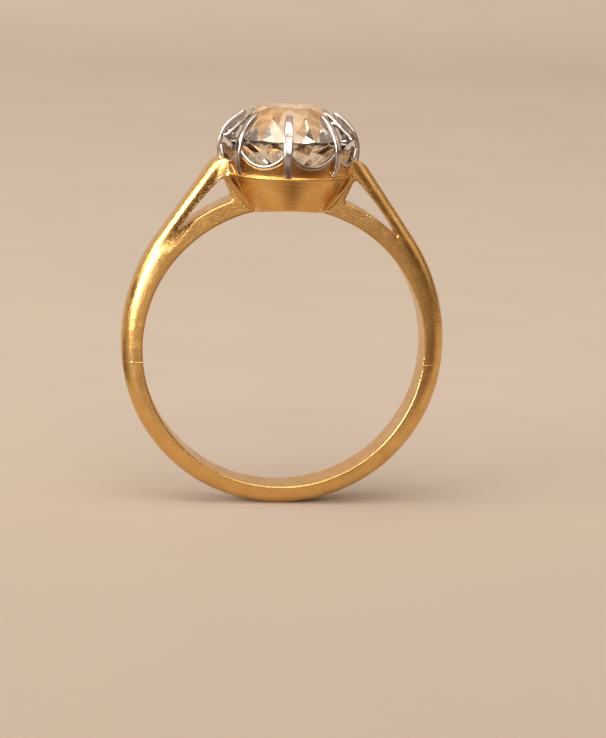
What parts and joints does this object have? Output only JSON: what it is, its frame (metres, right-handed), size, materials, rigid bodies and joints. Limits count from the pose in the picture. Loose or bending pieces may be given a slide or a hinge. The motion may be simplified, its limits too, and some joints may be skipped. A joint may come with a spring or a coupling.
{
  "type": "engagement ring",
  "caption": "Solitaire finger ring with forked gold shoulders, a tapered gold cup and a round old-cut stone held by claws on a scalloped white-metal coronet.",
  "frame": {"origin": "centre of the finger hole, halfway along its width", "axes": "+Y along the finger hole's axis, away from the viewer; +Z from the hole's centre through the stone's table; +X to the viewer's right"},
  "size_m": [0.0194, 0.0086, 0.0241],
  "materials": {
    "gold": "polished yellow gold, worn, with fine scratches and satin flanks",
    "platinum": "polished white metal, lightly worn",
    "diamond": "clear polished facets"
  },
  "bodies": {
    "root": {"shank_back": "gold", "shoulder_left": "gold", "shoulder_right": "gold", "base_collet": "gold", "coronet": "platinum", "claw_1": "platinum", "claw_2": "platinum", "claw_3": "platinum", "claw_4": "platinum", "claw_5": "platinum", "claw_6": "platinum", "claw_7": "platinum", "claw_8": "platinum", "diamond": "diamond"}
  },
  "joints": []
}
